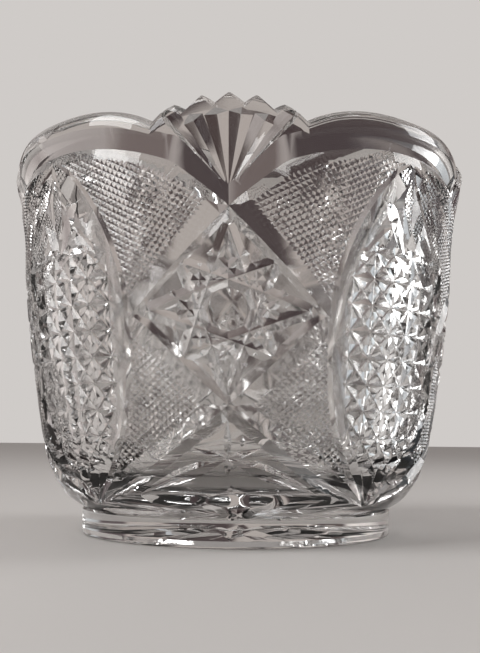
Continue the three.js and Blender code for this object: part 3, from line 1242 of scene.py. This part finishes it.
def smooth_glass(glass: Mesh, blank: Mesh) -> None:
    """Gives the uncut surface the blank's own soft shading and keeps every cut's edge crisp.

    Args:
        glass: The cut mesh, whose faces still have their finish as material index.
        blank: The mesh that it was cut from.
    """
    crisp = math.radians(14)
    glass.polygons.foreach_set("use_smooth", [True] * len(glass.polygons))
    glass.set_sharp_from_angle(angle=crisp)
    blank.set_sharp_from_angle(angle=crisp)
    blank_places = [vert.co.copy() for vert in blank.vertices]
    blank_faces = [tuple(face.vertices) for face in blank.polygons]
    tree = BVHTree.FromPolygons(blank_places, blank_faces)
    blank_normals = [corner.vector.copy() for corner in blank.corner_normals]
    normals = [corner.vector.copy() for corner in glass.corner_normals]
    towards_middle = 0.02
    for face in glass.polygons:
        if face.material_index == Finish.WHEEL_CUT:
            continue
        for corner in face.loop_indices:
            place = glass.vertices[glass.loops[corner].vertex_index].co
            place = place.lerp(face.center, towards_middle)
            nearest, _, number, _ = tree.find_nearest(place)
            source = blank.polygons[number]
            weights = poly_3d_calc([blank_places[v] for v in source.vertices], nearest)
            normal = Vector()
            for weight, loop in zip(weights, source.loop_indices):
                normal += blank_normals[loop] * weight
            normals[corner] = normal.normalized()
    glass.normals_split_custom_set(normals)


def hex_to_linear(code: str) -> Colour:
    """Turns an sRGB hex colour to linear.

    Args:
        code: Six hex digits.

    Returns:
        Red, green, blue and an alpha of 1.
    """
    channels = []
    for start in (0, 2, 4):
        value = int(code[start : start + 2], 16) / 255
        channels.append(value / 12.92 if value <= 0.04045 else ((value + 0.055) / 1.055) ** 2.4)
    return channels[0], channels[1], channels[2], 1.0


def fill_ramp(ramp: ColorRamp, stops: Sequence[tuple[float, Colour]]) -> None:
    """Sets a colour ramp's stops.

    Args:
        ramp: The ramp, with the two stops that it is made with.
        stops: Place and colour of each stop, in rising order.
    """
    while len(ramp.elements) < len(stops):
        ramp.elements.new(1.0)
    for element, (place, colour) in zip(ramp.elements, stops):
        element.position = place
        element.color = colour


def add_node(tree: NodeTree, kind: str, inputs: Sockets | None = None, **settings: object) -> Node:
    """Adds a node to a tree.

    Args:
        tree: The tree that takes the node.
        kind: The node's type name.
        inputs: Values or output sockets for its input sockets, by their names or numbers.
        **settings: Values of the node's own properties.

    Returns:
        The node.
    """
    node = tree.nodes.new(kind)
    for name, value in settings.items():
        setattr(node, name, value)
    for key, value in (inputs or {}).items():
        if isinstance(value, NodeSocket):
            tree.links.new(value, node.inputs[key])
        else:
            node.inputs[key].default_value = value
    return node


@dataclass(frozen=True)
class CrystalFinish:
    """Lead crystal, clear and heavy: its high index bends and scatters light at each cut.

    The haze pairs heights above the table with the roughness there.
    """

    name: str
    tint: str
    roughness: float
    wave_height: float
    wave_length: float
    haze: tuple[Pair, ...] = ()
    ior: float = 1.55
    wave_roughness: float = 0.4

    def material(self) -> Material:
        """Returns the finish as a material."""
        material = bpy.data.materials.new(self.name)
        material.use_nodes = True
        tree = material.node_tree
        tree.nodes.clear()
        place = add_node(tree, "ShaderNodeTexCoord").outputs["Object"]
        noise = {
            "Vector": place,
            "Scale": 1.0 / (self.wave_length * METRES_PER_MM),
            "Detail": 1.0,
            "Roughness": self.wave_roughness,
        }
        waves = add_node(tree, "ShaderNodeTexNoise", noise)
        distance = self.wave_height * METRES_PER_MM
        relief = {"Height": waves.outputs["Fac"], "Strength": 1.0, "Distance": distance}
        bump = add_node(tree, "ShaderNodeBump", relief)
        look = {
            "Base Color": hex_to_linear(self.tint),
            "Roughness": self.roughness,
            "IOR": self.ior,
            "Transmission Weight": 1.0,
            "Normal": bump.outputs["Normal"],
        }
        glass = add_node(tree, "ShaderNodeBsdfPrincipled", look)
        if self.haze:
            tree.links.new(self._haze_by_height(tree, place), glass.inputs["Roughness"])
        add_node(tree, "ShaderNodeOutputMaterial", {"Surface": glass.outputs["BSDF"]})
        return material

    def _haze_by_height(self, tree: NodeTree, place: NodeSocket) -> NodeSocket:
        """Returns the roughness that the haze gives at each height.

        Args:
            tree: The material's node tree.
            place: Where on the dish the surface lies.
        """
        height = add_node(tree, "ShaderNodeSeparateXYZ", {"Vector": place}).outputs["Z"]
        low, high = self.haze[0][0], self.haze[-1][0]
        limits = {"From Min": low * METRES_PER_MM, "From Max": high * METRES_PER_MM}
        share = add_node(tree, "ShaderNodeMapRange", {"Value": height, **limits})
        ramp = add_node(tree, "ShaderNodeValToRGB", {"Fac": share.outputs["Result"]})
        stops = [((level - low) / (high - low), (value, value, value, 1.0)) for level, value in self.haze]
        fill_ramp(ramp.color_ramp, stops)
        return ramp.outputs["Color"]


INSIDE_HAZE = ((24.0, 0.02), (38.0, 0.11), (70.0, 0.11), (90.0, 0.02))
FINISHES = {
    # Melted smooth, with long shallow ripples: its reflections are bright and bend a little.
    Finish.FIRE_POLISHED: CrystalFinish("crystal_fire_polished", "F4F3F2", 0.0, 0.02, 7.0),
    # Polished after the wheel, almost flat: each facet flashes light or dark as one.
    Finish.WHEEL_CUT: CrystalFinish("crystal_wheel_cut", "F1F0EF", 0.01, 0.006, 2.5),
    # Ground and left so: a frosted ring where the foot stands.
    Finish.GROUND: CrystalFinish("crystal_ground_ring", "EEEDEB", 0.25, 0.01, 0.4),
    # Bright at the floor and the lip and soft between, so that the front cutting stands out.
    Finish.INSIDE: CrystalFinish("crystal_inside", "F4F3F2", 0.25, 0.02, 9.0, INSIDE_HAZE),
}


@dataclass(frozen=True)
class Studio:
    """Plain pale floor and soft light round the dish.

    Args:
        camera_place: Where the camera stands, in millimetres.
        camera_direction: Where it looks.
        camera_roll: How far its picture is turned, in radians.
        lens: Focal length for the sensor's width.
        front_share: Share of a turn that brings the front to the middle of the cards.
        softboxes: Name, place, size and watts of each soft light.

    The cards pair an azimuth with a colour. A blend gives the heights of the unit direction between
    which a higher row of them takes over.
    """

    camera_place: Triple = (10.83, -280.44, 28.02)
    camera_direction: Triple = (-0.0357, 0.9922, 0.1197)
    camera_roll: float = 0.009
    lens: float = 50.5
    sensor: float = 36.0
    nearest: float = 0.01
    floor_size: float = 6.0
    floor_drop: float = 0.0001
    floor_colour: str = "DEDBD8"
    floor_roughness: float = 0.6
    backdrop_colour: str = "CFCBC8"
    ceiling_colour: str = "9A9694"
    low_cards: Cards = (
        (-180.0, "8B817B"), (-120.0, "AE9F9C"), (-90.0, "DBD3CE"), (-75.0, "D0C8C4"), (-62.0, "A69C9A"),
        (-47.0, "EAE3DF"), (-34.0, "EAE3DF"), (-31.0, "4A3E3C"), (-21.5, "4A3E3C"), (-20.0, "B3ABA6"),
        (-3.0, "B3ABA6"), (-1.0, "403435"), (13.5, "403435"), (15.0, "B5ACA7"), (27.0, "B5ACA7"),
        (29.0, "54494B"), (44.0, "54494B"), (48.0, "B8BABD"), (60.0, "D8DEE2"), (90.0, "F0F8FC"),
        (110.0, "C5CBD2"), (125.0, "6C686C"), (180.0, "8B817B"),
    )
    high_cards: Cards = (
        (-180.0, "8B7F78"), (-120.0, "9E9290"), (-90.0, "B6B0AE"), (-60.0, "C1BBBC"), (-30.0, "B0A8A6"),
        (-14.0, "A19996"), (-11.0, "6A5E5C"), (-5.0, "6A5E5C"), (-4.0, "A19996"), (-2.0, "A19996"),
        (0.0, "3C3032"), (40.0, "3C3032"), (46.0, "BBBABB"), (60.0, "E4EAEE"), (90.0, "C4C7CB"),
        (125.0, "A6A4A5"), (180.0, "8B7F78"),
    )
    top_cards: Cards = (
        (-180.0, "9A9694"), (-30.0, "9A9694"), (-18.0, "8A817F"), (-12.0, "8A817F"), (-9.0, "3C3032"),
        (-3.0, "3C3032"), (-2.0, "B5ACA7"), (18.0, "B5ACA7"), (22.0, "6A5E5C"), (44.0, "5A4E4C"),
        (50.0, "9A9694"), (180.0, "9A9694"),
    )
    high_blend: Pair = (0.39, 0.41)
    top_blend: Pair = (0.465, 0.5)
    ceiling_blend: Pair = (0.66, 0.76)
    front_share: float = 0.75
    softboxes: tuple[tuple[str, Triple, Pair, float], ...] = (
        ("key", (-0.55, -0.35, 0.75), (0.5, 0.5), 3.8),
        ("rim", (0.75, 0.2, 0.35), (0.3, 0.6), 2.2),
    )
    light_aim: float = 0.06

    def camera(self) -> None:
        """Sets up the camera at the photograph's viewing angle."""
        data = bpy.data.cameras.new("camera")
        data.lens = self.lens
        data.sensor_width = self.sensor
        data.clip_start = self.nearest
        camera = link_object("camera", data)
        turn = Vector(self.camera_direction).to_track_quat("-Z", "Y").to_matrix().to_4x4()
        roll = Matrix.Rotation(self.camera_roll, 4, "Z")
        place = Matrix.Translation(Vector(self.camera_place) * METRES_PER_MM)
        camera.matrix_world = place @ turn @ roll
        bpy.context.scene.camera = camera

    def floor(self) -> None:
        """Lays the plain floor of pale paper, matt so that it throws soft light up into the foot."""
        plane = bmesh.new()
        bmesh.ops.create_grid(plane, x_segments=1, y_segments=1, size=self.floor_size / 2)
        # A hair below the standing ring, so that the two faces don't coincide and turn black.
        bmesh.ops.translate(plane, vec=(0.0, 0.0, -self.floor_drop), verts=plane.verts)
        material = bpy.data.materials.new("matt_pale_paper")
        material.use_nodes = True
        shader = material.node_tree.nodes["Principled BSDF"]
        shader.inputs["Base Color"].default_value = hex_to_linear(self.floor_colour)
        shader.inputs["Roughness"].default_value = self.floor_roughness
        floor = link_body("floor", plane, [material])

    def world(self) -> None:
        """Surrounds the dish with pale cards and dark flags, as glass is lit, behind a plain pale view."""
        world = bpy.data.worlds.new("studio")
        bpy.context.scene.world = world
        world.use_nodes = True
        tree = world.node_tree
        tree.nodes.clear()
        direction = add_node(tree, "ShaderNodeTexCoord").outputs["Generated"]
        around = add_node(tree, "ShaderNodeTexGradient", {"Vector": direction}, gradient_type="RADIAL")
        terms = {0: around.outputs["Fac"], 1: self.front_share}
        turned = add_node(tree, "ShaderNodeMath", terms, operation="ADD")
        share = add_node(tree, "ShaderNodeMath", {0: turned.outputs["Value"]}, operation="FRACT")
        up = add_node(tree, "ShaderNodeSeparateXYZ", {"Vector": direction}).outputs["Z"]
        rings = []
        for cards in (self.low_cards, self.high_cards, self.top_cards):
            ramp = add_node(tree, "ShaderNodeValToRGB", {"Fac": share.outputs["Value"]})
            stops = [(0.5 - turn / 360, hex_to_linear(colour)) for turn, colour in reversed(cards)]
            fill_ramp(ramp.color_ramp, stops)
            rings.append(ramp.outputs["Color"])
        room, *above = (*rings, hex_to_linear(self.ceiling_colour))
        for colour, (low, high) in zip(above, (self.high_blend, self.top_blend, self.ceiling_blend)):
            blend = add_node(tree, "ShaderNodeMapRange", {"Value": up, "From Min": low, "From Max": high})
            colours = {"Factor": blend.outputs["Result"], MIX_FIRST: room, MIX_SECOND: colour}
            room = add_node(tree, "ShaderNodeMix", colours, data_type="RGBA").outputs[MIX_RESULT]
        seen = add_node(tree, "ShaderNodeLightPath").outputs["Is Camera Ray"]
        colours = {"Factor": seen, MIX_FIRST: room, MIX_SECOND: hex_to_linear(self.backdrop_colour)}
        view = add_node(tree, "ShaderNodeMix", colours, data_type="RGBA").outputs[MIX_RESULT]
        background = add_node(tree, "ShaderNodeBackground", {"Color": view, "Strength": 1.0})
        add_node(tree, "ShaderNodeOutputWorld", {"Surface": background.outputs["Background"]})

    def lights(self) -> None:
        """Hangs the soft lights."""
        for name, place, size, power in self.softboxes:
            data = bpy.data.lights.new(name, "AREA")
            data.shape = "RECTANGLE"
            data.size, data.size_y = size
            data.energy = power
            lamp = link_object(name, data)
            lamp.location = place
            aim = Vector((0.0, 0.0, self.light_aim)) - lamp.location
            lamp.rotation_euler = aim.to_track_quat("-Z", "Y").to_euler()

    def build(self) -> None:
        """Sets up camera, floor, world and lights."""
        self.camera()
        self.floor()
        self.world()
        self.lights()
        bpy.context.scene.view_settings.view_transform = "Standard"


def main() -> None:
    """Builds the dish and the studio round it."""
    logging.basicConfig(level=logging.INFO, format="%(message)s")
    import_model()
    foot_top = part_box("foot")[1]
    dish = Dish(foot_top.z / METRES_PER_MM, foot_top.x / METRES_PER_MM)
    glass = dish.build()
    for finish in Finish:
        glass.data.materials[finish] = FINISHES[finish].material()
    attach(glass, "root")
    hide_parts("bowl", "foot")
    LOG.info("%s: %d faces", glass.name, len(glass.data.polygons))
    Studio().build()


if __name__ == "__main__":
    main()
